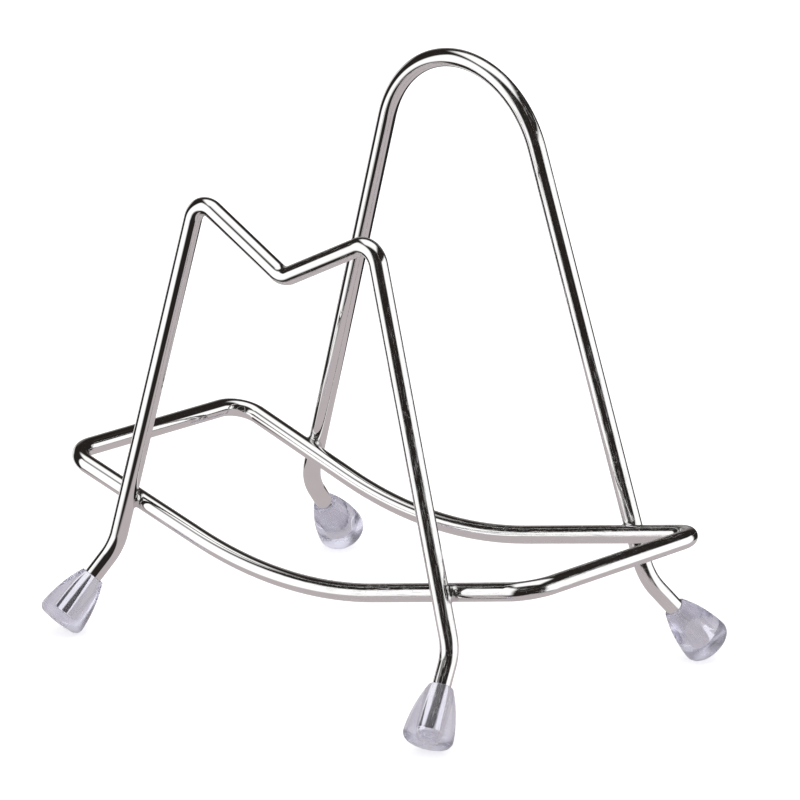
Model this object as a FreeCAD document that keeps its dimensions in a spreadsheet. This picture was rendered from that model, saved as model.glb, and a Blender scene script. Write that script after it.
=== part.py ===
"""Wire display stand for an open album or a plate, built as it is made in the workshop.

Three pieces of bent chrome wire are welded together: a front frame shaped like the letter M,
a taller arched back frame, and a closed ring that dips in the middle and joins the two frames.
Each of the four feet is folded outwards and carries a soft clear cap.

Frame of the part: origin on the table under the middle of the stand, +X to the right,
+Y to the back, +Z up.  Millimetres and degrees.
"""

import FreeCAD, Part
import Sketcher
import math
import os

Vector = FreeCAD.Vector

# Driving dimensions: alias in the sheet, value, meaning.
SIZES = [
    ("wire_diameter", 5.0, "steel wire of the frames and the ring"),
    ("front_bend_height", 23.0, "height where the front legs fold out into the feet"),
    ("back_bend_height", 25.0, "height where the back legs fold out into the feet"),
    ("front_bend_ahead", 38.96, "foot bends of the front frame ahead of the origin"),
    ("back_bend_behind", 36.69, "foot bends of the back frame behind the origin"),
    ("foot_tilt", 41.3, "angle between a foot and the vertical"),
    ("front_foot_splay", 22.3, "outward turn of a front foot from the front to back direction"),
    ("back_foot_splay", 19.9, "outward turn of a back foot from the front to back direction"),
    ("back_foot_turn", 5.4, "turn of both back feet towards the right"),
    ("front_lean", 1.7, "lean of the front frame towards the back"),
    ("front_half_width", 63.1, "half distance between the foot bends of the front frame"),
    ("hump_half_width", 32.5, "half distance between the two humps"),
    ("hump_rise", 103.8, "humps above the foot bends, measured along the frame"),
    ("notch_rise", 87.6, "bottom of the notch above the foot bends, along the frame"),
    ("hump_bend", 5.4, "bend radius of the humps, wire centre line"),
    ("notch_bend", 5.6, "bend radius of the notch"),
    ("front_foot_bend", 12.4, "bend radius where a front leg becomes a foot"),
    ("back_lean", 2.7, "lean of the back frame towards the front"),
    ("back_half_width", 63.6, "half distance between the foot bends of the back frame"),
    ("back_leg_angle", 17.6, "angle between a back leg and the frame's middle line"),
    ("arch_radius", 29.1, "radius of the arch, wire centre line"),
    ("back_foot_bend", 16.5, "bend radius where a back leg becomes a foot"),
    ("ring_height", 43.4, "height of the ring's two short sides"),
    ("ring_half_width", 86.7, "half length of the ring, wire centre line"),
    ("ring_front", 33.96, "front rail ahead of the origin"),
    ("ring_back", 32.14, "ends of the back rail behind the origin"),
    ("front_dip_offset", 2.6, "bottom of the front rail's dip to the left of the middle"),
    ("back_dip_offset", 8.7, "bottom of the back rail's dip to the left of the middle"),
    ("ring_wing_slope", 13.9, "slope of the rails up to the short sides"),
    ("ring_dip_radius", 138.0, "radius of the dip in the middle of each rail"),
    ("back_rail_lean", 5.3, "lean of the dipped back rail towards the front"),
    ("ring_corner", 7.9, "corner radius of the ring"),
    ("weld_radius", 2.8, "radius of the weld bead at each crossing"),
    ("cap_length", 16.2, "foot cap, bottom to rim"),
    ("cap_rim_radius", 3.3, "foot cap at the rim"),
    ("cap_base_radius", 6.7, "foot cap at its widest"),
    ("cap_side", 40.0, "radius of the slightly barrelled side of the cap"),
    ("cap_corner", 2.2, "rounding of the lower edge of the cap"),
    ("cap_dome", 30.0, "radius of the slightly domed underside"),
    ("cap_floor", 3.2, "solid vinyl below the end of the wire"),
    ("cap_flat", 0.25, "depth by which the lower edge is pressed flat on the table"),
]

doc = FreeCAD.newDocument("DisplayStand")
sheet = doc.addObject("Spreadsheet::Sheet", "sizes")
for row, (alias, value, meaning) in enumerate(SIZES, start=1):
    sheet.set("A%d" % row, alias)
    sheet.set("B%d" % row, str(value))
    sheet.set("C%d" % row, meaning)
    sheet.setAlias("B%d" % row, alias)
doc.recompute()


def size(alias):
    """Value of one cell of the sheet."""
    return float(sheet.get(alias))


def sine(degrees):
    return math.sin(math.radians(degrees))


def cosine(degrees):
    return math.cos(math.radians(degrees))


def tangent(degrees):
    return math.tan(math.radians(degrees))


# ---------------------------------------------------------------- bent wires

def rounded_path(points, radii):
    """Straight runs between the points, joined by a tangent arc at each inner point."""
    edges = []
    here = points[0]
    for index, radius in enumerate(radii, start=1):
        corner = points[index]
        back = (points[index - 1] - corner).normalize()
        ahead = (points[index + 1] - corner).normalize()
        half_angle = back.getAngle(ahead) / 2
        setback = radius / math.tan(half_angle)
        arc_start = corner + back * setback
        arc_end = corner + ahead * setback
        inwards = (back + ahead).normalize()
        arc_middle = corner + inwards * (radius / math.sin(half_angle) - radius)
        edges.append(Part.LineSegment(here, arc_start).toShape())
        edges.append(Part.Arc(arc_start, arc_middle, arc_end).toShape())
        here = arc_end
    edges.append(Part.LineSegment(here, points[-1]).toShape())
    return Part.Wire(edges)


def bent_wire(name, path_wire, seam_side, placement):
    """Round wire swept along a path that is given in the piece's own flat frame.

    The seam of the swept surface starts on seam_side, away from the welds.
    """
    path = doc.addObject("Part::Feature", name + "_path")
    path.Shape = path_wire
    first_edge = path_wire.OrderedEdges[0]
    start = first_edge.valueAt(first_edge.FirstParameter)
    direction = first_edge.tangentAt(first_edge.FirstParameter)
    section = doc.addObject("Part::Circle", name + "_section")
    section.setExpression("Radius", "sizes.wire_diameter / 2")
    section.Placement = FreeCAD.Placement(
        start, FreeCAD.Rotation(seam_side, Vector(), direction, "ZXY"))
    wire = doc.addObject("Part::Sweep", name)
    wire.Sections = [section]
    wire.Spine = (path, ["Edge%d" % (i + 1) for i in range(len(path_wire.Edges))])
    wire.Solid = True
    wire.Frenet = False
    wire.Placement = placement
    return wire


# Height of the centre of a cap's underside when its lower edge is pressed flat on the table.
cap_edge_out = size("cap_base_radius") - size("cap_corner")
cap_edge_up = size("cap_dome") - math.sqrt(
    (size("cap_dome") - size("cap_corner")) ** 2 - cap_edge_out ** 2)
cap_seat_height = (cap_edge_out * sine(size("foot_tilt"))
                   - cap_edge_up * cosine(size("foot_tilt"))
                   + size("cap_corner") - size("cap_flat"))

FRONT, BACK = -1, 1
LEFT, RIGHT = -1, 1


def bend_height(row):
    """Height of the foot bends of the front or the back frame."""
    return size("front_bend_height") if row == FRONT else size("back_bend_height")


def foot_length(row):
    """Length of a foot from its bend corner to the underside of its cap."""
    return (bend_height(row) - cap_seat_height) / cosine(size("foot_tilt"))


def foot_direction(side, row):
    """Unit vector down a foot of the left or right side and the front or back row."""
    if row == FRONT:
        turn = side * size("front_foot_splay")
    else:
        turn = side * size("back_foot_splay") + size("back_foot_turn")
    out = sine(size("foot_tilt"))
    return Vector(out * sine(turn), row * out * cosine(turn), -cosine(size("foot_tilt")))


def frame_placement(row):
    """Frame standing on its foot bends and leaning towards the middle of the stand."""
    if row == FRONT:
        depth, lean = -size("front_bend_ahead"), -size("front_lean")
    else:
        depth, lean = size("back_bend_behind"), size("back_lean")
    position = Vector(0, depth, bend_height(row))
    return FreeCAD.Placement(position, FreeCAD.Rotation(Vector(1, 0, 0), lean))


def foot_end(bend, side, row):
    """End of the wire of a foot, in the flat frame of its leg."""
    direction = frame_placement(row).Rotation.inverted().multVec(foot_direction(side, row))
    return bend + direction * (foot_length(row) - size("cap_floor"))


# Front frame: two legs, two humps and the notch between them.
front_bends = [Vector(side * size("front_half_width"), 0, 0) for side in (LEFT, RIGHT)]
humps = [Vector(side * size("hump_half_width"), 0, size("hump_rise")) for side in (LEFT, RIGHT)]
notch = Vector(0, 0, size("notch_rise"))
front_path = rounded_path(
    [foot_end(front_bends[0], LEFT, FRONT), front_bends[0], humps[0], notch,
     humps[1], front_bends[1], foot_end(front_bends[1], RIGHT, FRONT)],
    [size("front_foot_bend"), size("hump_bend"), size("notch_bend"),
     size("hump_bend"), size("front_foot_bend")])
front_frame = bent_wire("front_frame", front_path, Vector(0, -1, 0), frame_placement(FRONT))
front_frame.Label = "front_frame"

# Back frame: two legs that run into one round arch.
back_bends = [Vector(side * size("back_half_width"), 0, 0) for side in (LEFT, RIGHT)]
legs_meet = Vector(0, 0, size("back_half_width") / tangent(size("back_leg_angle")))
back_path = rounded_path(
    [foot_end(back_bends[0], LEFT, BACK), back_bends[0], legs_meet,
     back_bends[1], foot_end(back_bends[1], RIGHT, BACK)],
    [size("back_foot_bend"), size("arch_radius"), size("back_foot_bend")])
back_frame = bent_wire("back_frame", back_path, Vector(0, 1, 0), frame_placement(BACK))
back_frame.Label = "back_frame"

# Ring: two dipped rails joined by two level short sides.  Its flat frame is level with them.
wing_drop = size("ring_half_width") * tangent(size("ring_wing_slope"))
front_dip = Vector(-size("front_dip_offset"), -size("ring_front"), -wing_drop)
back_dip_y = size("ring_back") - wing_drop * tangent(size("back_rail_lean"))
back_dip = Vector(-size("back_dip_offset"), back_dip_y, -wing_drop)
front_ends = [Vector(side * size("ring_half_width"), -size("ring_front"), 0) for side in (LEFT, RIGHT)]
back_ends = [Vector(side * size("ring_half_width"), size("ring_back"), 0) for side in (LEFT, RIGHT)]
ring_placement = FreeCAD.Placement(Vector(0, 0, size("ring_height")), FreeCAD.Rotation())
side_middles = [(front + back) * 0.5 for front, back in zip(front_ends, back_ends)]
ring_radii = [size("ring_corner"), size("ring_dip_radius"), size("ring_corner")]


def ring_half(name, ends, dip):
    """One rail of the ring with half of each short side."""
    path = rounded_path([side_middles[0], ends[0], dip, ends[1], side_middles[1]], ring_radii)
    return bent_wire(name, path, Vector(0, 0, -1), ring_placement)


ring_wire = doc.addObject("Part::Fuse", "ring_wire")
ring_wire.Base = ring_half("ring_front_half", front_ends, front_dip)
ring_wire.Tool = ring_half("ring_back_half", back_ends, back_dip)
ring_wire.Refine = True


def cut(name, base, tool):
    """Base less tool."""
    result = doc.addObject("Part::Cut", name)
    result.Base = base
    result.Tool = tool
    return result


# Where the wires are welded the frames are pressed a little into the ring.
ring_saddled = cut("ring_saddled", ring_wire, front_frame)
base_ring = cut("base_ring", ring_saddled, back_frame)
base_ring.Label = "base_ring"


# ---------------------------------------------------------------- welds

def straight(placement, start, end):
    """Straight centre line between two points of a piece's flat frame."""
    return Part.LineSegment(placement.multVec(start), placement.multVec(end)).toShape()


def weld_bead(name, leg, rail, frame):
    """Bead around the point where a leg crosses a rail, fitted to the surfaces of both."""
    closest = leg.distToShape(rail)[1][0]
    ball = doc.addObject("Part::Sphere", name + "_ball")
    ball.setExpression("Radius", "sizes.weld_radius")
    poles_front_to_back = FreeCAD.Rotation(Vector(0, 0, 1), Vector(0, 1, 0))
    ball.Placement = FreeCAD.Placement((closest[0] + closest[1]) * 0.5, poles_front_to_back)
    clear_of_frame = cut(name + "_clear_of_frame", ball, frame)
    bead = cut(name, clear_of_frame, base_ring)
    bead.Label = name
    return bead


weld_beads = []
for side, side_name in ((0, "left"), (1, "right")):
    front_leg = straight(front_frame.Placement, front_bends[side], humps[side])
    front_rail = straight(ring_placement, front_ends[side], front_dip)
    weld_beads.append(weld_bead("weld_front_" + side_name, front_leg, front_rail, front_frame))
    back_leg = straight(back_frame.Placement, back_bends[side], legs_meet)
    back_rail = straight(ring_placement, back_ends[side], back_dip)
    weld_beads.append(weld_bead("weld_back_" + side_name, back_leg, back_rail, back_frame))


# ---------------------------------------------------------------- foot caps

def plane_of(body, role):
    """One of the body's own origin planes."""
    for feature in body.Origin.OriginFeatures:
        if feature.Role == role:
            return feature
    raise ValueError("no plane " + role)


def body_sketch(body, name):
    """Sketch in the body's XZ plane: sketch x is the radius, sketch y the axis."""
    sketch = body.newObject("Sketcher::SketchObject", name)
    sketch.AttachmentSupport = [(plane_of(body, "XZ_Plane"), "")]
    sketch.MapMode = "FlatFace"
    return sketch


def draw_cap_section(sketch):
    """Half section of a cap: blind bore, flat rim, barrelled side, rounded edge, domed underside."""
    bore = size("wire_diameter") / 2
    edge_centre = Vector(cap_edge_out, cap_edge_up, 0)
    dome_centre = Vector(0, size("cap_dome"), 0)
    rim = Vector(size("cap_rim_radius"), size("cap_length"), 0)
    # The side is an arc that ends at the rim and runs tangent into the rounded edge.
    to_rim = rim - edge_centre
    from_edge = size("cap_side") - size("cap_corner")
    along = (from_edge ** 2 - size("cap_side") ** 2 + to_rim.Length ** 2) / (2 * to_rim.Length)
    inwards = Vector(-to_rim.y, to_rim.x, 0).normalize() * math.sqrt(from_edge ** 2 - along ** 2)
    side_centre = edge_centre + to_rim / to_rim.Length * along + inwards
    side_angle = math.atan2(edge_centre.y - side_centre.y, edge_centre.x - side_centre.x)
    rim_angle = math.atan2(rim.y - side_centre.y, rim.x - side_centre.x)
    outwards = (edge_centre - dome_centre).normalize()
    dome_angle = math.atan2(outwards.y, outwards.x)
    points = [Vector(0, 0, 0), Vector(0, size("cap_floor"), 0), Vector(bore, size("cap_floor"), 0),
              Vector(bore, size("cap_length"), 0), rim]
    for start, end in zip(points[:-1], points[1:]):
        sketch.addGeometry(Part.LineSegment(start, end), False)
    axis, floor, wall, rim_face = range(4)
    side_circle = Part.Circle(side_centre, Vector(0, 0, 1), size("cap_side"))
    side = sketch.addGeometry(Part.ArcOfCircle(side_circle, side_angle, rim_angle), False)
    flat_circle = Part.Circle(edge_centre, Vector(0, 0, 1), size("cap_corner"))
    edge = sketch.addGeometry(Part.ArcOfCircle(flat_circle, dome_angle, side_angle), False)
    dome_circle = Part.Circle(dome_centre, Vector(0, 0, 1), size("cap_dome"))
    dome = sketch.addGeometry(Part.ArcOfCircle(dome_circle, -math.pi / 2, dome_angle), False)

    start, end, centre = 1, 2, 3
    origin = (-1, start)
    vertical_axis = -2

    def constrain(kind, *arguments):
        return sketch.addConstraint(Sketcher.Constraint(kind, *arguments))

    def bind(kind, where, expression, value):
        index = constrain(kind, *where, value)
        sketch.setExpression("Constraints[%d]" % index, expression)

    constrain("Coincident", axis, start, *origin)
    constrain("PointOnObject", axis, end, vertical_axis)
    for first, second in ((axis, floor), (floor, wall), (wall, rim_face)):
        constrain("Coincident", first, end, second, start)
    constrain("Horizontal", floor)
    constrain("Vertical", wall)
    constrain("Horizontal", rim_face)
    constrain("Coincident", rim_face, end, side, end)
    constrain("Tangent", side, start, edge, end)
    constrain("Tangent", edge, start, dome, end)
    constrain("Coincident", dome, start, *origin)
    constrain("PointOnObject", dome, centre, vertical_axis)
    bind("DistanceY", (*origin, axis, end), "sizes.cap_floor", size("cap_floor"))
    bind("DistanceX", (*origin, floor, end), "sizes.wire_diameter / 2", bore)
    bind("DistanceY", (*origin, side, end), "sizes.cap_length", rim.y)
    bind("DistanceX", (*origin, side, end), "sizes.cap_rim_radius", rim.x)
    bind("Radius", (side,), "sizes.cap_side", size("cap_side"))
    bind("Radius", (edge,), "sizes.cap_corner", size("cap_corner"))
    bind("Radius", (dome,), "sizes.cap_dome", size("cap_dome"))
    bind("DistanceX", (*origin, edge, centre), "sizes.cap_base_radius - sizes.cap_corner",
         edge_centre.x)


def draw_table_wedge(sketch):
    """Triangle under the table plane, on the side where the cap's edge touches the table."""
    reach = size("cap_length")
    low = Vector(0, -cap_seat_height / cosine(size("foot_tilt")), 0)
    high = low + Vector(reach, reach * tangent(size("foot_tilt")), 0)
    corner = Vector(high.x, low.y, 0)
    for start, end in ((low, corner), (corner, high), (high, low)):
        sketch.addGeometry(Part.LineSegment(start, end), False)
    start, end = 1, 2
    level, upright, table = range(3)
    for first, second in ((level, upright), (upright, table), (table, level)):
        sketch.addConstraint(Sketcher.Constraint("Coincident", first, end, second, start))
    sketch.addConstraint(Sketcher.Constraint("Horizontal", level))
    sketch.addConstraint(Sketcher.Constraint("Vertical", upright))
    sketch.addConstraint(Sketcher.Constraint("PointOnObject", level, start, -2))
    sketch.addConstraint(Sketcher.Constraint("DistanceY", level, start, -1, start, -low.y))
    reach_index = sketch.addConstraint(Sketcher.Constraint("DistanceX", level, start, level, end, reach))
    sketch.setExpression("Constraints[%d]" % reach_index, "sizes.cap_length")
    tilt_index = sketch.addConstraint(
        Sketcher.Constraint("Angle", level, start, table, end, math.radians(size("foot_tilt"))))
    sketch.setExpression("Constraints[%d]" % tilt_index, "sizes.foot_tilt * 1 deg")


def foot_cap(name, bend, side, row):
    """Soft cap on the foot below the given leg bend, its lower edge pressed flat on the table."""
    body = doc.addObject("PartDesign::Body", name)
    body.Label = name
    section = body_sketch(body, name + "_section")
    draw_cap_section(section)
    turned = body.newObject("PartDesign::Revolution", name + "_turned")
    turned.Profile = section
    turned.ReferenceAxis = (section, ["V_Axis"])
    turned.Angle = 360
    wedge = body_sketch(body, name + "_wedge")
    draw_table_wedge(wedge)
    flat = body.newObject("PartDesign::Pocket", name + "_flat")
    flat.Profile = wedge
    flat.Type = "ThroughAll"
    flat.SideType = "Symmetric"
    direction = foot_direction(side, row)
    underside = frame_placement(row).multVec(bend) + direction * foot_length(row)
    heading = math.degrees(math.atan2(-direction.y, -direction.x))
    # Local z runs up the foot, local x points to the side that rests on the table.
    rotation = FreeCAD.Rotation(heading, size("foot_tilt"), 0)
    body.Placement = FreeCAD.Placement(underside, rotation)
    return body


foot_caps = []
for index, (side, side_name) in enumerate(((LEFT, "left"), (RIGHT, "right"))):
    foot_caps.append(foot_cap("foot_cap_front_" + side_name, front_bends[index], side, FRONT))
    foot_caps.append(foot_cap("foot_cap_back_" + side_name, back_bends[index], side, BACK))


# ---------------------------------------------------------------- check and write

doc.recompute()
for item in doc.Objects:
    if "Invalid" in item.State or "Error" in item.State:
        raise RuntimeError("%s failed: %s" % (item.Label, item.State))

pieces = [front_frame, back_frame, base_ring] + weld_beads + foot_caps
for piece in pieces:
    if piece.Shape.isNull() or not piece.Shape.isValid():
        raise RuntimeError("%s has no valid shape" % piece.Label)
    if len(piece.Shape.Solids) != 1:
        raise RuntimeError("%s is not one solid" % piece.Label)

os.makedirs("parts", exist_ok=True)
for piece in pieces:
    piece.Shape.exportStep("parts/%s.step" % piece.Label)
    box = piece.Shape.BoundBox
    print("%-22s volume %9.2f  x %7.2f %7.2f  y %7.2f %7.2f  z %7.2f %7.2f" % (
        piece.Label, piece.Shape.Volume, box.XMin, box.XMax,
        box.YMin, box.YMax, box.ZMin, box.ZMax))
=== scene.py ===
"""Wire display stand: three bent chrome wires, four weld beads and four clear vinyl foot caps.

Everything is in metres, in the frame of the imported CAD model: +X right, +Y back, +Z up,
the table at z = 0.  The wires are swept again here along the same runs and bends as the
CAD, with finer sections, so that the chrome mirrors the studio without facets.
"""

import bmesh
import bpy
import math
from mathutils import Matrix, Quaternion, Vector, noise
from mathutils.geometry import intersect_line_line


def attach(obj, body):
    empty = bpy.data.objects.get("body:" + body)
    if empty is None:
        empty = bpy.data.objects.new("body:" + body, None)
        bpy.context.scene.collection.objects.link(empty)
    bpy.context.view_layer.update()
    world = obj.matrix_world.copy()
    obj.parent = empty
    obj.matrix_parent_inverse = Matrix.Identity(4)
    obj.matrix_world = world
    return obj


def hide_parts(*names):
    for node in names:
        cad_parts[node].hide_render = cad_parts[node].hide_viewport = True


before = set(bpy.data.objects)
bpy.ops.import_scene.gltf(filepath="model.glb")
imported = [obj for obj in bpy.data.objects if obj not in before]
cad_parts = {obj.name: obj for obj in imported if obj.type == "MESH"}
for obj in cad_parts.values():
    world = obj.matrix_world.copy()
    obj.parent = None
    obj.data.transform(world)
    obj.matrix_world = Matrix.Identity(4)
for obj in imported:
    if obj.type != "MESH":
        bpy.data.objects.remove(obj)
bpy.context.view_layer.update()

MM = 0.001
BODY = "root"
FRONT, BACK = -1, 1
LEFT, RIGHT = -1, 1
SIDES = ((LEFT, "left"), (RIGHT, "right"))

# ------------------------------------------------------------------ sizes, mm and degrees
WIRE_RADIUS = 2.5

BEND_HEIGHT = {FRONT: 23.0, BACK: 25.0}      # where the legs fold out into the feet
BEND_DEPTH = {FRONT: -38.96, BACK: 36.69}     # the same bends, front to back
FRAME_LEAN = {FRONT: -1.7, BACK: 2.7}        # turn of each frame about X
FOOT_TILT = 41.3                             # foot against the vertical
FOOT_SPLAY = {FRONT: 22.3, BACK: 19.9}       # outward turn from the front to back direction
FOOT_TURN = {FRONT: 0.0, BACK: 5.4}          # both feet of a row, towards the right

FRONT_HALF_WIDTH = 63.1
HUMP_HALF_WIDTH = 32.5
HUMP_RISE = 103.8
NOTCH_RISE = 87.6
HUMP_BEND = 5.4
NOTCH_BEND = 5.6
FRONT_FOOT_BEND = 12.4

BACK_HALF_WIDTH = 63.6
BACK_LEG_ANGLE = 17.6
ARCH_RADIUS = 29.1
BACK_FOOT_BEND = 16.5

RING_HEIGHT = 43.4
RING_HALF_WIDTH = 86.7
RING_FRONT = -33.96
RING_BACK = 32.14
FRONT_DIP_X = -2.6
BACK_DIP_X = -8.7
RING_WING_SLOPE = 13.9
RING_DIP_RADIUS = 138.0
BACK_RAIL_LEAN = 5.3
RING_CORNER = 7.9

CAP_LENGTH = 16.2
CAP_RIM_RADIUS = 3.3
CAP_BASE_RADIUS = 6.7
CAP_SIDE = 40.0
CAP_CORNER = 2.2
CAP_DOME = 30.0
CAP_FLOOR = 3.2
CAP_FLAT = 0.25


def sine(degrees):
    return math.sin(math.radians(degrees))


def cosine(degrees):
    return math.cos(math.radians(degrees))


def tangent(degrees):
    return math.tan(math.radians(degrees))


# ------------------------------------------------------------------ where things are
CAP_EDGE_OUT = CAP_BASE_RADIUS - CAP_CORNER
CAP_EDGE_UP = CAP_DOME - math.sqrt((CAP_DOME - CAP_CORNER) ** 2 - CAP_EDGE_OUT ** 2)
CAP_SEAT_HEIGHT = (CAP_EDGE_OUT * sine(FOOT_TILT) - CAP_EDGE_UP * cosine(FOOT_TILT)
                   + CAP_CORNER - CAP_FLAT)


def foot_length(row):
    """Bend corner to the underside of the cap."""
    return (BEND_HEIGHT[row] - CAP_SEAT_HEIGHT) / cosine(FOOT_TILT)


def foot_direction(side, row):
    """Unit vector down a foot."""
    turn = side * FOOT_SPLAY[row] + FOOT_TURN[row]
    out = sine(FOOT_TILT)
    return Vector((out * sine(turn), row * out * cosine(turn), -cosine(FOOT_TILT)))


def frame_place(row):
    """Matrix that stands a flat frame on its foot bends, leaning towards the middle."""
    lean = Matrix.Rotation(math.radians(FRAME_LEAN[row]), 4, "X")
    return Matrix.Translation((0, BEND_DEPTH[row], BEND_HEIGHT[row])) @ lean


def bend_corner(side, row):
    """Corner where a leg folds into its foot."""
    half_width = FRONT_HALF_WIDTH if row == FRONT else BACK_HALF_WIDTH
    return frame_place(row) @ Vector((side * half_width, 0, 0))


def foot_end(side, row):
    """End of the wire inside the cap."""
    return bend_corner(side, row) + foot_direction(side, row) * (foot_length(row) - CAP_FLOOR)


def front_corners():
    place = frame_place(FRONT)
    humps = [place @ Vector((side * HUMP_HALF_WIDTH, 0, HUMP_RISE)) for side in (LEFT, RIGHT)]
    notch = place @ Vector((0, 0, NOTCH_RISE))
    return [foot_end(LEFT, FRONT), bend_corner(LEFT, FRONT), humps[0], notch, humps[1],
            bend_corner(RIGHT, FRONT), foot_end(RIGHT, FRONT)]


def back_corners():
    apex = frame_place(BACK) @ Vector((0, 0, BACK_HALF_WIDTH / tangent(BACK_LEG_ANGLE)))
    return [foot_end(LEFT, BACK), bend_corner(LEFT, BACK), apex,
            bend_corner(RIGHT, BACK), foot_end(RIGHT, BACK)]


def ring_corners():
    """Round the ring once, starting and ending at the middle of the left short side."""
    drop = RING_HALF_WIDTH * tangent(RING_WING_SLOPE)
    low = RING_HEIGHT - drop
    start = Vector((-RING_HALF_WIDTH, (RING_FRONT + RING_BACK) / 2, RING_HEIGHT))
    return [start,
            Vector((-RING_HALF_WIDTH, RING_FRONT, RING_HEIGHT)),
            Vector((FRONT_DIP_X, RING_FRONT, low)),
            Vector((RING_HALF_WIDTH, RING_FRONT, RING_HEIGHT)),
            Vector((RING_HALF_WIDTH, RING_BACK, RING_HEIGHT)),
            Vector((BACK_DIP_X, RING_BACK - drop * tangent(BACK_RAIL_LEAN), low)),
            Vector((-RING_HALF_WIDTH, RING_BACK, RING_HEIGHT)),
            start]


# ------------------------------------------------------------------ meshes
ROUND_SEGMENTS = 64
ARC_STEP = 1.5            # degrees of bend between two sections of a wire
LEAST_ARC_STEPS = 4       # sections of the slightest bend
RUN_STEP = 4.0            # mm between two sections of a straight run
WIRE_END_BEVEL = 0.35     # mm, the sheared and tumbled end of a wire
WIRE_END_SHOULDER = 0.3   # share of the bevel at which its middle section lies
WIRE_END_TILT = 80.0      # degrees, normals at the end face, turned towards the end
WIRE_SHOULDER_TILT = 45.0


def rounded_path(corners, radii):
    """Points and unit tangents along straight runs joined by tangent arcs."""
    points, tangents = [], []

    def run(start, end):
        length = (end - start).length
        count = max(1, round(length / RUN_STEP))
        for index in range(count):
            points.append(start.lerp(end, index / count))
            tangents.append((end - start).normalized())

    here = corners[0]
    for index, radius in enumerate(radii, start=1):
        corner = corners[index]
        incoming = (corner - corners[index - 1]).normalized()
        outgoing = (corners[index + 1] - corner).normalized()
        turn = incoming.angle(outgoing)
        setback = radius * math.tan(turn / 2)
        arc_start = corner - incoming * setback
        run(here, arc_start)
        axis = incoming.cross(outgoing).normalized()
        centre = arc_start + axis.cross(incoming) * radius
        count = max(LEAST_ARC_STEPS, round(math.degrees(turn) / ARC_STEP))
        for step in range(count):
            turned = Quaternion(axis, turn * step / count)
            points.append(centre + turned @ (arc_start - centre))
            tangents.append(turned @ incoming)
        here = corner + outgoing * setback
    run(here, corners[-1])
    points.append(corners[-1].copy())
    tangents.append((corners[-1] - here).normalized())
    return points, tangents


def carried_normals(tangents):
    """Normals carried along the path without twisting."""
    upwards = Vector((0, 0, 1))
    normals = [(upwards - tangents[0] * upwards.dot(tangents[0])).normalized()]
    for before, after in zip(tangents[:-1], tangents[1:]):
        normal = before.rotation_difference(after) @ normals[-1]
        normals.append((normal - after * normal.dot(after)).normalized())
    return normals


def new_piece(name, vertices, faces, normals=None, uvs=None):
    """Smooth mesh object in metres from vertices in millimetres."""
    mesh = bpy.data.meshes.new(name)
    mesh.from_pydata([Vector(vertex) * MM for vertex in vertices], [], faces)
    if uvs is not None:
        layer = mesh.uv_layers.new(name="along_and_round")
        for corner, uv in zip(layer.data, uvs):
            corner.uv = uv
    mesh.shade_smooth()
    if normals is not None:
        mesh.normals_split_custom_set_from_vertices([tuple(normal) for normal in normals])
    piece = bpy.data.objects.new(name, mesh)
    bpy.context.scene.collection.objects.link(piece)
    return piece


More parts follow.
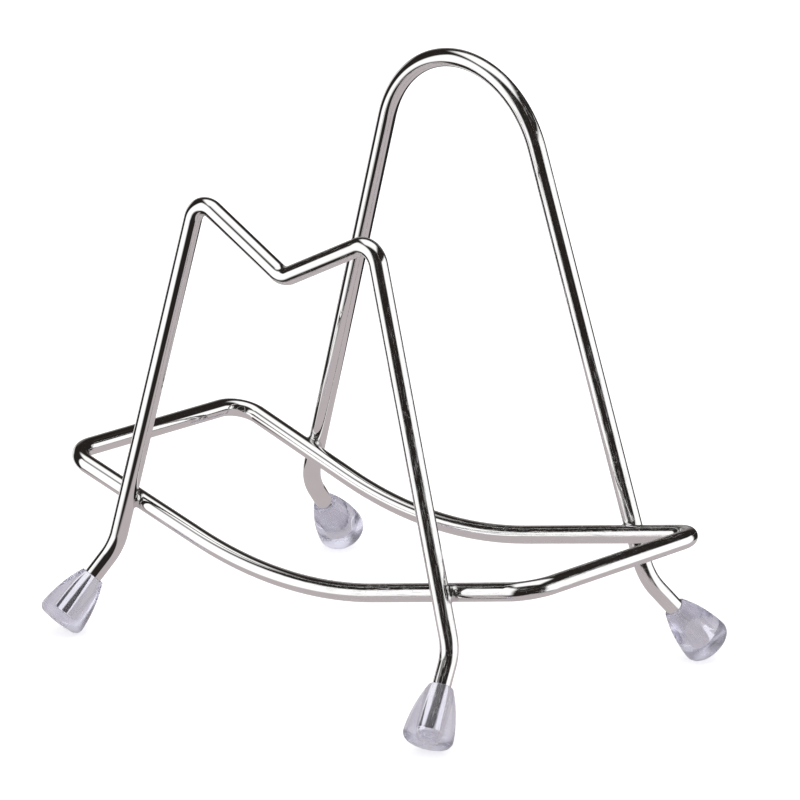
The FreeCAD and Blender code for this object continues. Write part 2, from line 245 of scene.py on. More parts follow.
def swept_wire(name, corners, radii, closed=False):
    """Round wire along a path.  An open wire ends in a small bevel and a flat face."""
    points, tangents = rounded_path(corners, radii)
    normals = carried_normals(tangents)
    lengths = [0.0]
    for before, after in zip(points[:-1], points[1:]):
        lengths.append(lengths[-1] + (after - before).length)
    twist = 0.0
    if closed:
        # The carried normal comes back turned; spread that turn over the whole ring.
        first, last = normals[0], normals[-1]
        twist = math.atan2(last.cross(first).dot(tangents[0]), last.dot(first))
        points.pop()
    vertices, vertex_normals, faces, uvs = [], [], [], []

    def add_section(index, shift, radius, tilt):
        """One circle of vertices; tilt turns their normals towards the end of the wire."""
        point, direction, normal = points[index], tangents[index], normals[index]
        across = direction.cross(normal)
        extra = twist * lengths[index] / lengths[-1]
        for segment in range(ROUND_SEGMENTS):
            angle = 2 * math.pi * segment / ROUND_SEGMENTS + extra
            outwards = normal * math.cos(angle) + across * math.sin(angle)
            vertices.append(point + direction * shift + outwards * radius)
            vertex_normals.append((outwards * cosine(tilt) + direction * sine(tilt)).normalized())

    # Sections as index of the point, shift along the path, radius and tilt.
    if closed:
        sections = [(index, 0.0, WIRE_RADIUS, 0.0) for index in range(len(points))]
    else:
        last_point = len(points) - 1
        shoulder = WIRE_END_BEVEL * WIRE_END_SHOULDER
        sections = [(0, 0.0, WIRE_RADIUS - WIRE_END_BEVEL, -WIRE_END_TILT),
                    (0, shoulder, WIRE_RADIUS - shoulder, -WIRE_SHOULDER_TILT),
                    (0, WIRE_END_BEVEL, WIRE_RADIUS, 0.0)]
        sections += [(index, 0.0, WIRE_RADIUS, 0.0) for index in range(1, last_point)]
        sections += [(last_point, -WIRE_END_BEVEL, WIRE_RADIUS, 0.0),
                     (last_point, -shoulder, WIRE_RADIUS - shoulder, WIRE_SHOULDER_TILT),
                     (last_point, 0.0, WIRE_RADIUS - WIRE_END_BEVEL, WIRE_END_TILT)]
    for section in sections:
        add_section(*section)
    count = len(sections)
    along = [(lengths[index] + shift) * MM for index, shift, radius, tilt in sections]
    along.append(lengths[-1] * MM)
    for index in range(count if closed else count - 1):
        after = (index + 1) % count
        for segment in range(ROUND_SEGMENTS):
            beside = (segment + 1) % ROUND_SEGMENTS
            faces.append((index * ROUND_SEGMENTS + segment, index * ROUND_SEGMENTS + beside,
                          after * ROUND_SEGMENTS + beside, after * ROUND_SEGMENTS + segment))
            low, high = segment / ROUND_SEGMENTS, (segment + 1) / ROUND_SEGMENTS
            uvs += [(along[index], low), (along[index], high),
                    (along[index + 1], high), (along[index + 1], low)]
    if not closed:
        for ring, direction, facing in ((0, tangents[0], -1), (count - 1, tangents[-1], 1)):
            start = ring * ROUND_SEGMENTS
            middle = len(vertices)
            rim = [vertices[start + segment] for segment in range(ROUND_SEGMENTS)]
            vertices.append(sum(rim, Vector()) / ROUND_SEGMENTS)
            vertex_normals.append(direction * facing)
            for segment in range(ROUND_SEGMENTS):
                pair = (start + segment, start + (segment + 1) % ROUND_SEGMENTS)
                faces.append((middle, *(pair if facing == 1 else pair[::-1])))
                uvs += [(along[ring], 0.5)] * 3
    return new_piece(name, vertices, faces, vertex_normals, uvs)


def ride_for(piece, node):
    """The piece stands in for one CAD node: it joins the body and the node is hidden."""
    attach(piece, BODY)
    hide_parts(node)


front_wire = swept_wire("front_wire", front_corners(),
                        [FRONT_FOOT_BEND, HUMP_BEND, NOTCH_BEND, HUMP_BEND, FRONT_FOOT_BEND])
back_wire = swept_wire("back_wire", back_corners(), [BACK_FOOT_BEND, ARCH_RADIUS, BACK_FOOT_BEND])
ring_wire = swept_wire("ring_wire", ring_corners(),
                       [RING_CORNER, RING_DIP_RADIUS, RING_CORNER] * 2, closed=True)
ride_for(front_wire, "front_frame")
ride_for(back_wire, "back_frame")
ride_for(ring_wire, "base_ring")

# ------------------------------------------------------------------ welds
WELD_RADIUS = 2.4         # mm, the bead itself
WELD_BLEND = 0.7          # mm, how far the bead flows out onto the wires
WELD_REACH = 4.6          # mm, where the bead's skin ends inside the wires
WELD_SINK = 0.015         # mm, keeps the skin under the wires away from the bead
WELD_ROUGH = 0.10         # mm, unevenness of the bead
WELD_LUMPS = 0.55         # lumps of that unevenness per mm, roughly
WELD_LUMP_REACH = 4.5     # mm, where the unevenness has died out
WELD_CORE = 0.5           # mm, surely inside the metal
WELD_SUBDIVISIONS = 5     # of the ball that is shrunk onto the skin
WELD_HALVINGS = 24        # steps of the search for the skin

# Middle of each bead against the crossing, mm: along the rail and upwards.  The shift along
# the rail is towards the middle of the stand, but outwards at the front right.
WELD_SHIFTS = {"weld_front_left": (0.6, 0.5),
               "weld_front_right": (0.8, 0.2),
               "weld_back_left": (0.3, 0.0),
               "weld_back_right": (0.3, 0.0)}


def smooth_minimum(first, second, blend):
    """Smaller of two distances, with a fillet where they are nearly equal."""
    overlap = max(blend - abs(first - second), 0.0) / blend
    return min(first, second) - overlap * overlap * blend / 4


def line_distance(point, start, direction):
    offset = point - start
    return (offset - direction * offset.dot(direction)).length


def weld_bead(name, leg, rail):
    """Bead where a leg crosses a rail, flowing onto both wires."""
    leg_start, leg_end = leg
    rail_start, rail_end = rail
    along, lift = WELD_SHIFTS[name]
    on_leg, on_rail = intersect_line_line(leg_start, leg_end, rail_start, rail_end)
    centre = (on_leg + on_rail) / 2
    leg_direction = (leg_end - leg_start).normalized()
    rail_direction = (rail_end - rail_start).normalized()
    bead_centre = centre + rail_direction * along + Vector((0, 0, lift))

    def skin(point):
        to_leg = line_distance(point, leg_start, leg_direction) - WIRE_RADIUS
        to_rail = line_distance(point, rail_start, rail_direction) - WIRE_RADIUS
        wires = smooth_minimum(to_leg, to_rail, WELD_BLEND)
        nearness = max(0.0, 1 - (point - centre).length / WELD_LUMP_REACH)
        lumps = WELD_ROUGH * noise.noise(point * WELD_LUMPS) * nearness
        bead = (point - bead_centre).length - WELD_RADIUS + lumps
        return smooth_minimum(wires, bead, WELD_BLEND) + WELD_SINK

    shape = bmesh.new()
    bmesh.ops.create_icosphere(shape, subdivisions=WELD_SUBDIVISIONS, radius=1.0)
    for vertex in shape.verts:
        outwards = vertex.co.normalized()
        low, high = WELD_CORE, WELD_REACH
        if skin(centre + outwards * high) > 0:
            for _ in range(WELD_HALVINGS):
                middle = (low + high) / 2
                if skin(centre + outwards * middle) > 0:
                    high = middle
                else:
                    low = middle
        vertex.co = centre + outwards * high
    vertices = [vertex.co.copy() for vertex in shape.verts]
    faces = [[vertex.index for vertex in face.verts] for face in shape.faces]
    shape.free()
    bead = new_piece(name + "_bead", vertices, faces)
    ride_for(bead, name)
    return bead


corners_of_front, corners_of_back, corners_of_ring = front_corners(), back_corners(), ring_corners()
weld_beads = [
    weld_bead("weld_front_left", (corners_of_front[1], corners_of_front[2]),
              (corners_of_ring[1], corners_of_ring[2])),
    weld_bead("weld_front_right", (corners_of_front[5], corners_of_front[4]),
              (corners_of_ring[2], corners_of_ring[3])),
    weld_bead("weld_back_left", (corners_of_back[1], corners_of_back[2]),
              (corners_of_ring[6], corners_of_ring[5])),
    weld_bead("weld_back_right", (corners_of_back[3], corners_of_back[2]),
              (corners_of_ring[4], corners_of_ring[5])),
]

# ------------------------------------------------------------------ foot caps
CAP_SEGMENTS = 96
CAP_LIP = 0.22            # mm, rounding of the rim inside and outside
CAP_GRIP = 0.02           # mm, the soft bore is this much tighter than the wire it touches
CAP_BORE_ROUND = 0.5      # mm, rounding at the bottom of the bore
CAP_BORE_GAP = 0.08       # mm, between the end of the wire and the bottom of the bore
PARTING_HEIGHT = 2.6      # mm, moulding line round the lower part of the cap
PARTING_DEPTH = 0.05      # mm, how far the line is sunk
PARTING_WIDTH = 0.12      # mm
PARTING_LIMIT = 0.8       # share of CAP_EDGE_OUT; nearer to the axis there is no line

# Steps of each run of the cap's half section.
DOME_STEPS = 12
CORNER_STEPS = 16
SIDE_STEPS = 44
LIP_STEPS = 6
INNER_LIP_STEPS = 5
BORE_STEPS = 20
BORE_ROUND_STEPS = 6


def arc_points(centre, radius, start, end, count):
    """Points of an arc in the half section, angles in degrees, end point included."""
    points = []
    for step in range(count + 1):
        angle = math.radians(start + (end - start) * step / count)
        points.append((centre[0] + radius * math.cos(angle), centre[1] + radius * math.sin(angle)))
    return points


def run_points(start, end, count):
    """Points of a straight run without its two ends."""
    return [(start[0] + (end[0] - start[0]) * step / count,
             start[1] + (end[1] - start[1]) * step / count) for step in range(1, count)]


def cap_section():
    """Half section from the middle of the underside round the outside and down the bore."""
    edge = (CAP_EDGE_OUT, CAP_EDGE_UP)
    dome_angle = math.degrees(math.atan2(CAP_EDGE_UP - CAP_DOME, CAP_EDGE_OUT))
    bore = WIRE_RADIUS - CAP_GRIP
    # The barrelled side runs from the rounded edge up to the rim.
    across, up = CAP_RIM_RADIUS - edge[0], CAP_LENGTH - edge[1]
    reach = math.hypot(across, up)
    from_edge = CAP_SIDE - CAP_CORNER
    along = (from_edge ** 2 - CAP_SIDE ** 2 + reach ** 2) / (2 * reach)
    inwards = math.sqrt(from_edge ** 2 - along ** 2)
    side_centre = (edge[0] + (across * along - up * inwards) / reach,
                   edge[1] + (up * along + across * inwards) / reach)
    side_angle = math.degrees(math.atan2(edge[1] - side_centre[1], edge[0] - side_centre[0]))
    lip_rise = CAP_LENGTH - CAP_LIP - side_centre[1]
    lip_angle = math.degrees(math.asin(lip_rise / (CAP_SIDE - CAP_LIP)))
    lip_centre = (side_centre[0] + (CAP_SIDE - CAP_LIP) * cosine(lip_angle), CAP_LENGTH - CAP_LIP)
    section = arc_points((0, CAP_DOME), CAP_DOME, -90, dome_angle, DOME_STEPS)
    section += arc_points(edge, CAP_CORNER, dome_angle, side_angle, CORNER_STEPS)[1:]
    section += arc_points(side_centre, CAP_SIDE, side_angle, lip_angle, SIDE_STEPS)[1:-1]
    section += arc_points(lip_centre, CAP_LIP, lip_angle, 90, LIP_STEPS)
    inner_radius = min(CAP_LIP, lip_centre[0] - bore)
    inner_centre = (bore + inner_radius, CAP_LENGTH - inner_radius)
    section += arc_points(inner_centre, inner_radius, 90, 180, INNER_LIP_STEPS)
    bore_top = (bore, CAP_LENGTH - inner_radius)
    bore_low = (bore, CAP_FLOOR + CAP_BORE_ROUND)
    section += run_points(bore_top, bore_low, BORE_STEPS)
    round_centre = (bore - CAP_BORE_ROUND, CAP_FLOOR - CAP_BORE_GAP + CAP_BORE_ROUND)
    section += arc_points(round_centre, CAP_BORE_ROUND, 0, -90, BORE_ROUND_STEPS)
    section.append((0.0, section[-1][1]))
    shaped = []
    for radius, height in section:
        if radius > CAP_EDGE_OUT * PARTING_LIMIT:
            near = (height - PARTING_HEIGHT) / PARTING_WIDTH
            radius -= PARTING_DEPTH * math.exp(-near * near)
        shaped.append((radius, height))
    return shaped


def foot_cap(name, side, row):
    """Soft cap turned round the foot; its lower edge is pressed flat on the table."""
    direction = foot_direction(side, row)
    underside = bend_corner(side, row) + direction * foot_length(row)
    up = -direction
    level = up.cross(Vector((0, 0, 1))).normalized()
    steep = up.cross(level)
    section = cap_section()
    vertices = [underside + up * section[0][1]]
    for radius, height in section[1:-1]:
        for segment in range(CAP_SEGMENTS):
            angle = 2 * math.pi * segment / CAP_SEGMENTS
            outwards = level * math.cos(angle) + steep * math.sin(angle)
            vertices.append(underside + up * height + outwards * radius)
    vertices.append(underside + up * section[-1][1])
    rings = len(section) - 2
    last = len(vertices) - 1
    faces = []
    for segment in range(CAP_SEGMENTS):
        beside = (segment + 1) % CAP_SEGMENTS
        faces.append((0, 1 + beside, 1 + segment))
        for ring in range(rings - 1):
            below, above = 1 + ring * CAP_SEGMENTS, 1 + (ring + 1) * CAP_SEGMENTS
            faces.append((below + segment, below + beside, above + beside, above + segment))
        top = 1 + (rings - 1) * CAP_SEGMENTS
        faces.append((last, top + segment, top + beside))
    for vertex in vertices:
        vertex.z = max(vertex.z, 0.0)
    cap = new_piece(name + "_vinyl", vertices, faces)
    ride_for(cap, name)
    return cap


foot_caps = []
for side, side_name in SIDES:
    foot_caps.append(foot_cap("foot_cap_front_" + side_name, side, FRONT))
    foot_caps.append(foot_cap("foot_cap_back_" + side_name, side, BACK))


# ------------------------------------------------------------------ node helpers
def calc(tree, operation, *values):
    """Math node; each value is a number or an output socket.  Returns its output."""
    node = tree.nodes.new("ShaderNodeMath")
    node.operation = operation
    for socket, value in zip(node.inputs, values):
        if isinstance(value, (int, float)):
            socket.default_value = value
        else:
            tree.links.new(value, socket)
    return node.outputs[0]


def remap(tree, value, span, results, smooth=False):
    """Map Range node from one span of values to another, clamped."""
    node = tree.nodes.new("ShaderNodeMapRange")
    node.interpolation_type = "SMOOTHSTEP" if smooth else "LINEAR"
    node.clamp = True
    tree.links.new(value, node.inputs["Value"])
    node.inputs["From Min"].default_value = span[0]
    node.inputs["From Max"].default_value = span[1]
    node.inputs["To Min"].default_value = results[0]
    node.inputs["To Max"].default_value = results[1]
    return node.outputs["Result"]


def noise_of(tree, vector, scale, detail=3.0, roughness=0.5):
    """Noise texture value at a vector."""
    node = tree.nodes.new("ShaderNodeTexNoise")
    node.inputs["Scale"].default_value = scale
    node.inputs["Detail"].default_value = detail
    node.inputs["Roughness"].default_value = roughness
    tree.links.new(vector, node.inputs["Vector"])
    return node.outputs["Fac"]


def bump_of(tree, height, strength, distance, normal=None):
    """Bump node; the height is in units of the distance, which is in metres."""
    node = tree.nodes.new("ShaderNodeBump")
    node.inputs["Strength"].default_value = strength
    node.inputs["Distance"].default_value = distance
    tree.links.new(height, node.inputs["Height"])
    if normal is not None:
        tree.links.new(normal, node.inputs["Normal"])
    return node.outputs["Normal"]


def mixed_colour(tree, factor, first, second):
    """Colour between two fixed colours."""
    node = tree.nodes.new("ShaderNodeMix")
    node.data_type = "RGBA"
    tree.links.new(factor, node.inputs["Factor"])
    node.inputs["A"].default_value = (*first, 1)
    node.inputs["B"].default_value = (*second, 1)
    return node.outputs["Result"]


def new_material(name):
    """Material with its node tree and its Principled shader."""
    material = bpy.data.materials.new(name)
    material.use_nodes = True
    return material, material.node_tree, material.node_tree.nodes["Principled BSDF"]


def place_coordinate(tree):
    """Place on the object in metres, the same from every side."""
    return tree.nodes.new("ShaderNodeTexCoord").outputs["Object"]


def split_vector(tree, vector):
    """The X, Y and Z outputs of a vector."""
    node = tree.nodes.new("ShaderNodeSeparateXYZ")
    tree.links.new(vector, node.inputs[0])
    return node.outputs


def mixed_shader(tree, factor, first, second, output):
    """Mix two shaders by a factor and send the result to a surface output."""
    mix = tree.nodes.new("ShaderNodeMixShader")
    tree.links.new(factor, mix.inputs[0])
    tree.links.new(first.outputs[0], mix.inputs[1])
    tree.links.new(second.outputs[0], mix.inputs[2])
    tree.links.new(mix.outputs[0], output.inputs["Surface"])


# ------------------------------------------------------------------ materials
# Scales of noise are per metre, except along the wire.
MARK_STRETCH = 20.0       # the marks' coordinate per metre along the wire
CHROME_COLOURS = ((0.80, 0.79, 0.785), (0.88, 0.875, 0.875))
CHROME_GLOSS = (0.012, 0.035)         # roughness where it is clean
CHROME_WORN_SPAN = (-0.015, 0.025)    # from left to right, metres
CHROME_WORN_SIDES = (0.12, 1.0)       # wear of the left and of the right half

WELD_COLOURS = ((0.58, 0.57, 0.57), (0.80, 0.79, 0.79))
WELD_GLOSS = (0.08, 0.22)

VINYL_COLOURS = ((0.86, 0.86, 0.98), (0.96, 0.96, 1.0))
VINYL_GLOSS = (0.04, 0.12)
VINYL_RUBBED_SPAN = (0.002, 0.008)    # metres above the table
VINYL_RUBBED_GLOSS = 0.26             # further roughness at the table
VINYL_TRANSMISSION = 0.93
VINYL_IOR = 1.49
VINYL_TINT = (0.62, 0.60, 0.84)
VINYL_DENSITY = 20.0                  # of the tint, per metre


def wire_coordinate(tree):
    """Length along the wire and a circle round it, so that drawing marks have no seam."""
    uv = tree.nodes.new("ShaderNodeUVMap")
    uv.uv_map = "along_and_round"
    along_and_round = split_vector(tree, uv.outputs["UV"])
    angle = calc(tree, "MULTIPLY", along_and_round["Y"], 2 * math.pi)
    joined = tree.nodes.new("ShaderNodeCombineXYZ")
    tree.links.new(calc(tree, "MULTIPLY", along_and_round["X"], MARK_STRETCH), joined.inputs["X"])
    tree.links.new(calc(tree, "COSINE", angle), joined.inputs["Y"])
    tree.links.new(calc(tree, "SINE", angle), joined.inputs["Z"])
    return joined.outputs["Vector"]


def chrome_wire_material():
    """Bright chrome on drawn wire: lengthwise drawing marks, rubbed patches, slow waviness."""
    material, tree, shader = new_material("bright_chrome")
    along = wire_coordinate(tree)
    place = place_coordinate(tree)
    marks = noise_of(tree, along, scale=9.0, detail=4.0, roughness=0.6)
    patches = noise_of(tree, along, scale=1.1)
    nicks = noise_of(tree, place, scale=800.0, roughness=0.6)
    waves = noise_of(tree, along, scale=1.3, detail=1.0)
    haze = noise_of(tree, place, scale=140.0)
    tree.links.new(mixed_colour(tree, haze, *CHROME_COLOURS), shader.inputs["Base Color"])
    shader.inputs["Metallic"].default_value = 1.0
    # The right half has been rubbed more than the left half.
    across = split_vector(tree, place)["X"]
    worn_side = remap(tree, across, CHROME_WORN_SPAN, CHROME_WORN_SIDES)
    worn_patches = remap(tree, patches, span=(0.40, 0.58), results=(0.30, 1.0))
    worn = calc(tree, "MULTIPLY", worn_side, worn_patches)
    streaks = remap(tree, marks, span=(0.50, 0.64), results=(0.0, 0.46))
    scratches = remap(tree, nicks, span=(0.56, 0.70), results=(0.0, 0.34))
    scuffs = calc(tree, "MULTIPLY", calc(tree, "MAXIMUM", streaks, scratches), worn)
    gloss = remap(tree, haze, span=(0.3, 0.7), results=CHROME_GLOSS)
    tree.links.new(calc(tree, "ADD", gloss, scuffs), shader.inputs["Roughness"])
    surface = bump_of(tree, waves, strength=0.20, distance=0.00010)
    surface = bump_of(tree, marks, strength=0.12, distance=0.00002, normal=surface)
    tree.links.new(surface, shader.inputs["Normal"])
    return material


def weld_material():
    """The same plating over an uneven bead, duller than the wire."""
    material, tree, shader = new_material("plated_weld")
    place = place_coordinate(tree)
    ripples = noise_of(tree, place, scale=900.0, detail=4.0, roughness=0.6)
    lumps = noise_of(tree, place, scale=350.0, detail=2.0)
    tree.links.new(mixed_colour(tree, lumps, *WELD_COLOURS), shader.inputs["Base Color"])
    shader.inputs["Metallic"].default_value = 1.0
    gloss = remap(tree, ripples, span=(0.3, 0.7), results=WELD_GLOSS)
    tree.links.new(gloss, shader.inputs["Roughness"])
    surface = bump_of(tree, ripples, strength=0.25, distance=0.00008)
    tree.links.new(surface, shader.inputs["Normal"])
    return material


def vinyl_material():
    """Clear soft vinyl, a little milky, with a violet tint that deepens with thickness."""
    material, tree, shader = new_material("clear_vinyl")
    place = place_coordinate(tree)
    lumps = noise_of(tree, place, scale=170.0, detail=2.0)
    clouds = noise_of(tree, place, scale=420.0)
    grain = noise_of(tree, place, scale=1500.0, detail=2.0)
    tree.links.new(mixed_colour(tree, clouds, *VINYL_COLOURS), shader.inputs["Base Color"])
    height = split_vector(tree, place)["Z"]
    rubbed = remap(tree, height, VINYL_RUBBED_SPAN, (VINYL_RUBBED_GLOSS, 0.0))
    satin = remap(tree, clouds, span=(0.35, 0.65), results=VINYL_GLOSS)
    tree.links.new(calc(tree, "ADD", satin, rubbed), shader.inputs["Roughness"])
    shader.inputs["Transmission Weight"].default_value = VINYL_TRANSMISSION
    shader.inputs["IOR"].default_value = VINYL_IOR
    surface = bump_of(tree, lumps, strength=0.35, distance=0.00025)
    surface = bump_of(tree, clouds, strength=0.20, distance=0.00006, normal=surface)
    surface = bump_of(tree, grain, strength=0.05, distance=0.00002, normal=surface)
    tree.links.new(surface, shader.inputs["Normal"])
    depth = tree.nodes.new("ShaderNodeVolumeAbsorption")
    depth.inputs["Color"].default_value = (*VINYL_TINT, 1)
    depth.inputs["Density"].default_value = VINYL_DENSITY
    tree.links.new(depth.outputs["Volume"], tree.nodes["Material Output"].inputs["Volume"])
    return material


def paint(pieces, material):
    """Give every piece this one material."""
    for piece in pieces:
        piece.data.materials.clear()
        piece.data.materials.append(material)


paint([front_wire, back_wire, ring_wire], chrome_wire_material())
paint(weld_beads, weld_material())
paint(foot_caps, vinyl_material())
for cap in foot_caps:
    cap.visible_shadow = False      # clear vinyl lets the light through to the table

# ------------------------------------------------------------------ set: floor, cards, soft boxes
FLOOR_REACH = 40.0        # metres from the stand to the edge of the floor
FLOOR_DEPTH = 0.0001      # the floor lies this far under the feet, the cards half as far
FLOOR_COLOUR = (0.92, 0.92, 0.92)
FLOOR_ROUGHNESS = 0.9
FLOOR_GLOW = 0.30
WHITE_LIGHT = 1.22        # soft boxes
ROOM_LIGHT = 0.021        # dark room round the soft boxes
BACKDROP_LIGHT = 1.05     # what the camera and matt surfaces see
VEIL_LIGHT = 0.65         # backdrop behind the stand, for light that went through the caps
VEIL_BACKWARDS = (-0.15, 0.15)        # the veil grows over these Y of the direction
VEIL_DOWNWARDS = (-0.05, -0.02)       # and is full below these Z of the direction
DARK_TINT = (1.0, 0.84, 0.76)         # the dark room is warmer than the lights
DARK_TINT_END = 0.4       # brightness at which the tint has faded

# Cards on the table: left, right, front and back edge in metres. The grey and pale cards' colours
# are painted light: they glow with the brightness of the lit table instead of being lit.
GREY_CARD = (-0.138, 0.140, -0.076, 0.156)
GREY_CARD_GLOW = (0.546, 0.496, 0.506)
DARK_CARD = (-0.450, 0.140, 0.156, 0.600)
CARD_FADES = (0.010, 0.010, 0.010, 0.010)
PALE_CARD_GLOW = (0.65, 0.62, 0.62)

# Soft boxes: left, right, low and high edge and the fade at each, in metres, in the box's own
# plane.  Azimuth 0 is the front and 90 the right.
LEFT_BOX = (-0.211, 0.330, -0.267, 0.490)
LEFT_BOX_FADES = (0.035, 0.120, 0.120, 0.110)
LEFT_BOX_AZIMUTH, LEFT_BOX_DISTANCE = -33.5, 0.536
RIGHT_BOX = (-1.120, 2.000, -1.120, 1.060)
RIGHT_BOX_FADES = (0.350, 0.500, 0.150, 0.200)
RIGHT_BOX_AZIMUTH, RIGHT_BOX_DISTANCE = 118.7, 2.042
OVERHEAD_BOX = (-0.750, 0.430, -0.430, 0.545)
OVERHEAD_BOX_FADES = (0.170, 0.150, 0.150, 0.200)
OVERHEAD_BOX_TURN, OVERHEAD_BOX_HEIGHT = 29.5, 1.016

# Far parts of the set: azimuth, half width, fade, highest elevation, fade, brightness.
FAR_LIGHTS = ((-131.9, 14.0, 14.0, 22.0, 14.0, 0.35),
              (-106.8, 12.5, 8.0, 8.3, 8.0, 0.97))


def set_rectangle(name, edges, place):
    """Rectangle of the set, drawn flat and then placed by a matrix."""
    left, right, low, high = edges
    vertices = [(left, low, 0), (right, low, 0), (right, high, 0), (left, high, 0)]
    mesh = bpy.data.meshes.new(name)
    mesh.from_pydata(vertices, [], [(0, 1, 2, 3)])
    piece = bpy.data.objects.new(name, mesh)
    bpy.context.scene.collection.objects.link(piece)
    piece.matrix_world = place
    return piece


def floor_material():
    """Plain white floor, lit a little from within so that it stays white to its far edge."""
    material, tree, shader = new_material("white_floor")
    shader.inputs["Base Color"].default_value = (*FLOOR_COLOUR, 1)
    shader.inputs["Roughness"].default_value = FLOOR_ROUGHNESS
    shader.inputs["Specular IOR Level"].default_value = 0.0
    shader.inputs["Emission Color"].default_value = (1, 1, 1, 1)
    shader.inputs["Emission Strength"].default_value = FLOOR_GLOW
    return material


def glowing_material(name, edges, fades, colour, strength):
    """Even glow that fades out over the left, right, low and high edge of a rectangle."""
    material = bpy.data.materials.new(name)
    material.use_nodes = True
    material.cycles.emission_sampling = "NONE"
    tree = material.node_tree
    tree.nodes.clear()
    place = split_vector(tree, place_coordinate(tree))
    mask = 1.0
    for index, (edge, fade) in enumerate(zip(edges, fades)):
        before_edge = index % 2     # a right or high edge has the glow before it
        across = place["X" if index < 2 else "Y"]
        side = remap(tree, across, (edge - fade, edge + fade), (before_edge, 1 - before_edge), True)
        mask = calc(tree, "MULTIPLY", mask, side)
    glow = tree.nodes.new("ShaderNodeEmission")
    glow.inputs["Color"].default_value = (*colour, 1)
    glow.inputs["Strength"].default_value = strength
    clear = tree.nodes.new("ShaderNodeBsdfTransparent")
    mixed_shader(tree, mask, clear, glow, tree.nodes.new("ShaderNodeOutputMaterial"))
    return material


def mirrored_card(name, edges, fades, place, colour=(1, 1, 1), strength=1.0):
    """Card or soft box that only the chrome's reflections and the clear vinyl see."""
    outline = [edge + (fade if index % 2 else -fade)
               for index, (edge, fade) in enumerate(zip(edges, fades))]
    card = set_rectangle(name, outline, place)
    paint([card], glowing_material(name, edges, fades, colour, strength))
    card.visible_camera = False
    card.visible_diffuse = False
    card.visible_shadow = False
    return card


floor = set_rectangle("floor", (-FLOOR_REACH, FLOOR_REACH, -FLOOR_REACH, FLOOR_REACH),
                      Matrix.Translation((0, 0, -FLOOR_DEPTH)))
paint([floor], floor_material())
floor.visible_glossy = False
floor.visible_diffuse = False

on_table = Matrix.Translation((0, 0, -FLOOR_DEPTH / 2))
# Painted light: the grey card glows with the colour of the lit table instead of being lit.
grey_card = mirrored_card("grey_card", GREY_CARD, CARD_FADES, on_table, GREY_CARD_GLOW)
grey_card.visible_transmission = False
dark_card = mirrored_card("dark_card", DARK_CARD, CARD_FADES, on_table, strength=ROOM_LIGHT)
dark_card.visible_transmission = False
# The clear vinyl sees a paler card, since more light falls on the table under it: painted light, a
# brighter glowing copy of the grey card.
pale_card = mirrored_card("pale_card", GREY_CARD, CARD_FADES, on_table, PALE_CARD_GLOW)
pale_card.visible_glossy = False


def upright(azimuth, distance):
    """Upright plane that faces the stand; local X is level and local Y is height."""
    turn = Matrix.Rotation(math.radians(azimuth), 4, "Z")
    return turn @ Matrix.Translation((0, -distance, 0)) @ Matrix.Rotation(math.radians(90), 4, "X")


def overhead(turn, height):
    """Level plane above the stand."""
    turned = Matrix.Rotation(math.radians(turn), 4, "Z")
    return Matrix.Translation((0, 0, height)) @ turned


mirrored_card("left_soft_box", LEFT_BOX, LEFT_BOX_FADES,
              upright(LEFT_BOX_AZIMUTH, LEFT_BOX_DISTANCE), strength=WHITE_LIGHT)
mirrored_card("right_soft_box", RIGHT_BOX, RIGHT_BOX_FADES,
              upright(RIGHT_BOX_AZIMUTH, RIGHT_BOX_DISTANCE), strength=WHITE_LIGHT)
mirrored_card("overhead_soft_box", OVERHEAD_BOX, OVERHEAD_BOX_FADES,
              overhead(OVERHEAD_BOX_TURN, OVERHEAD_BOX_HEIGHT), strength=WHITE_LIGHT)


def far_light(tree, azimuth, elevation, light):
    """Brightness of one far part of the set, with soft edges, down to the ground."""
    centre, width, side_fade, high, top_fade, brightness = light
    turned = calc(tree, "WRAP", calc(tree, "SUBTRACT", azimuth, centre), 180.0, -180.0)
    aside = calc(tree, "ABSOLUTE", turned)
    across = remap(tree, aside, (width - side_fade, width + side_fade), (brightness, 0.0), True)
    below = remap(tree, elevation, (high - top_fade, high + top_fade), (1.0, 0.0), True)
    return calc(tree, "MULTIPLY", across, below)


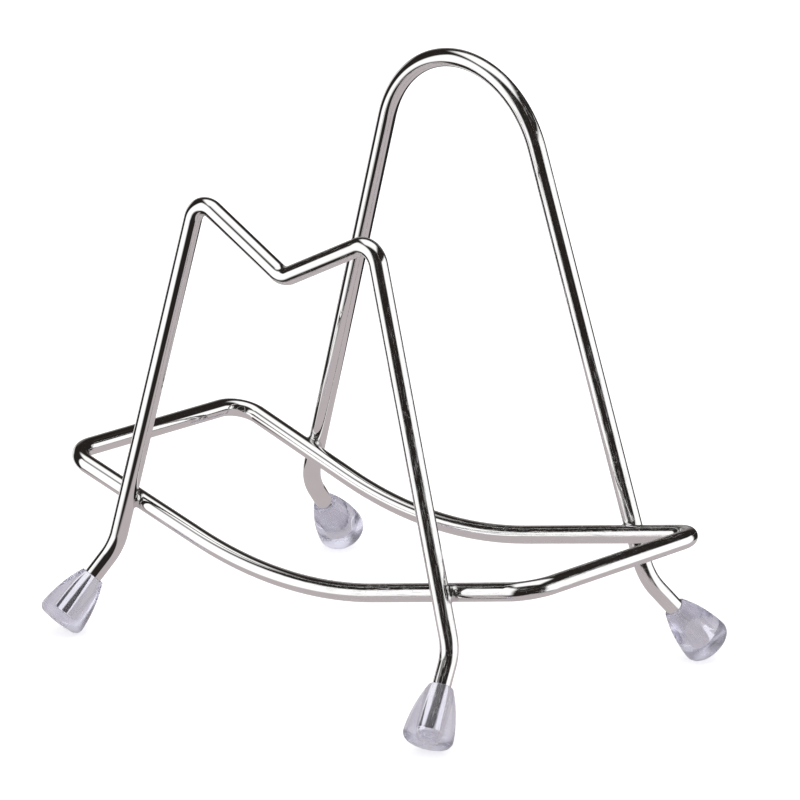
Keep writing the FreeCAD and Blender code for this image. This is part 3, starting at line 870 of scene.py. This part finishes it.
def studio_world():
    """Dark room with far lights for reflections and clear vinyl; plain white for the rest."""
    world = bpy.data.worlds.new("studio")
    world.use_nodes = True
    bpy.context.scene.world = world
    tree = world.node_tree
    tree.nodes.clear()
    coordinate = tree.nodes.new("ShaderNodeTexCoord")
    direction = split_vector(tree, coordinate.outputs["Generated"])
    to_front = calc(tree, "MULTIPLY", direction["Y"], -1.0)
    azimuth = calc(tree, "DEGREES", calc(tree, "ARCTAN2", direction["X"], to_front))
    elevation = calc(tree, "DEGREES", calc(tree, "ARCSINE", direction["Z"]))
    light = ROOM_LIGHT
    for far_part in FAR_LIGHTS:
        light = calc(tree, "MAXIMUM", light, far_light(tree, azimuth, elevation, far_part))
    # Light that has come through the vinyl also meets the pale backdrop behind the stand.
    path = tree.nodes.new("ShaderNodeLightPath")
    behind = remap(tree, direction["Y"], VEIL_BACKWARDS, (0.0, VEIL_LIGHT), True)
    below = remap(tree, direction["Z"], VEIL_DOWNWARDS, (VEIL_LIGHT, 0.0), True)
    veil = calc(tree, "MAXIMUM", behind, below)
    went_through = calc(tree, "MINIMUM", path.outputs["Transmission Depth"], 1.0)
    light = calc(tree, "MAXIMUM", light, calc(tree, "MULTIPLY", veil, went_through))
    fading = remap(tree, light, (0.0, DARK_TINT_END), (0.0, 1.0))
    tint = mixed_colour(tree, fading, DARK_TINT, (1, 1, 1))
    studio = tree.nodes.new("ShaderNodeBackground")
    tree.links.new(tint, studio.inputs["Color"])
    tree.links.new(light, studio.inputs["Strength"])
    backdrop = tree.nodes.new("ShaderNodeBackground")
    backdrop.inputs["Color"].default_value = (1, 1, 1, 1)
    backdrop.inputs["Strength"].default_value = BACKDROP_LIGHT
    sees_studio = calc(tree, "MAXIMUM", path.outputs["Is Glossy Ray"],
                       path.outputs["Is Transmission Ray"])
    mixed_shader(tree, sees_studio, backdrop, studio, tree.nodes.new("ShaderNodeOutputWorld"))


studio_world()
bpy.context.scene.view_settings.view_transform = "Standard"

# ------------------------------------------------------------------ camera
CAMERA_AZIMUTH = 43.92
CAMERA_ELEVATION = 16.76
CAMERA_DISTANCE = 1.5462
CAMERA_TARGET = Vector((0.0, 0.00758, 0.06755))
CAMERA_SENSOR = 36.0      # mm
CAMERA_LENS = 257.82      # mm

camera_data = bpy.data.cameras.new("camera")
camera_data.sensor_width = CAMERA_SENSOR
camera_data.lens = CAMERA_LENS
camera = bpy.data.objects.new("camera", camera_data)
bpy.context.scene.collection.objects.link(camera)
towards_camera = Vector((sine(CAMERA_AZIMUTH) * cosine(CAMERA_ELEVATION),
                         -cosine(CAMERA_AZIMUTH) * cosine(CAMERA_ELEVATION),
                         sine(CAMERA_ELEVATION)))
camera.location = CAMERA_TARGET + towards_camera * CAMERA_DISTANCE
camera.rotation_euler = (-towards_camera).to_track_quat("-Z", "Y").to_euler()
bpy.context.scene.camera = camera
